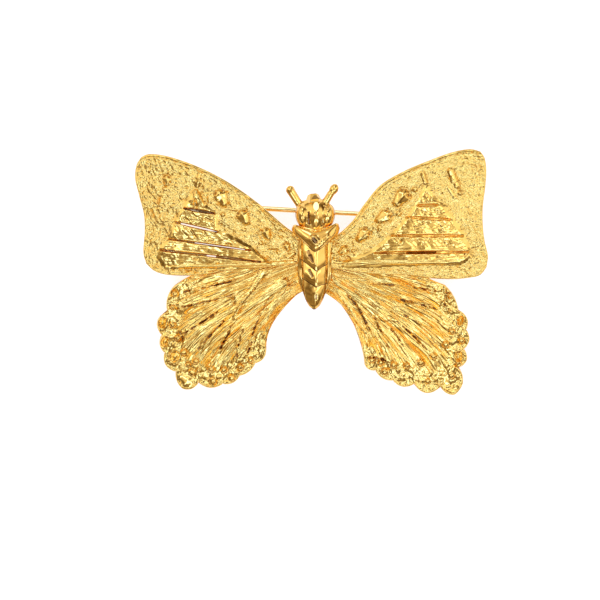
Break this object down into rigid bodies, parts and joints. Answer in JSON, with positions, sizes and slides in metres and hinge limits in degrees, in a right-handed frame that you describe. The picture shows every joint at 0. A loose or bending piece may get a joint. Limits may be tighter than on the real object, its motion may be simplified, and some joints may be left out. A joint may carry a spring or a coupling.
{
  "type": "butterfly brooch",
  "caption": "Gold-tone butterfly brooch with textured, pierced and scalloped wings, a polished segmented body and a hinged pin with a catch behind the wings.",
  "frame": {"origin": "middle of the brooch's outline, on the surface that it lies on", "axes": "+X along the span, to the right as seen from the front; +Y towards the head; +Z out of the face"},
  "size_m": [0.0635, 0.0443, 0.0105],
  "materials": {
    "forewing_metal": "cast, sandy relief, bright gold plate",
    "hindwing_metal": "cast, fluted and pitted relief, bright gold plate",
    "body_metal": "polished gold plate",
    "finding_metal": "satin gold plate",
    "pin_metal": "drawn, polished, gold plate"
  },
  "bodies": {
    "brooch": {"forewings": "forewing_metal", "hindwings": "hindwing_metal", "body": "body_metal", "hinge": "finding_metal", "hinge_rivet": "finding_metal", "catch": "finding_metal"},
    "pin": {"pin_stem": "pin_metal"}
  },
  "joints": [
    {"name": "pin_hinge", "type": "hinge", "parent": "brooch", "child": "pin", "pos_m": [-0.0153, 0.012, 0.0014], "axis": [0.0558, 0.9984, 0], "range_deg": [0, 100]}
  ]
}
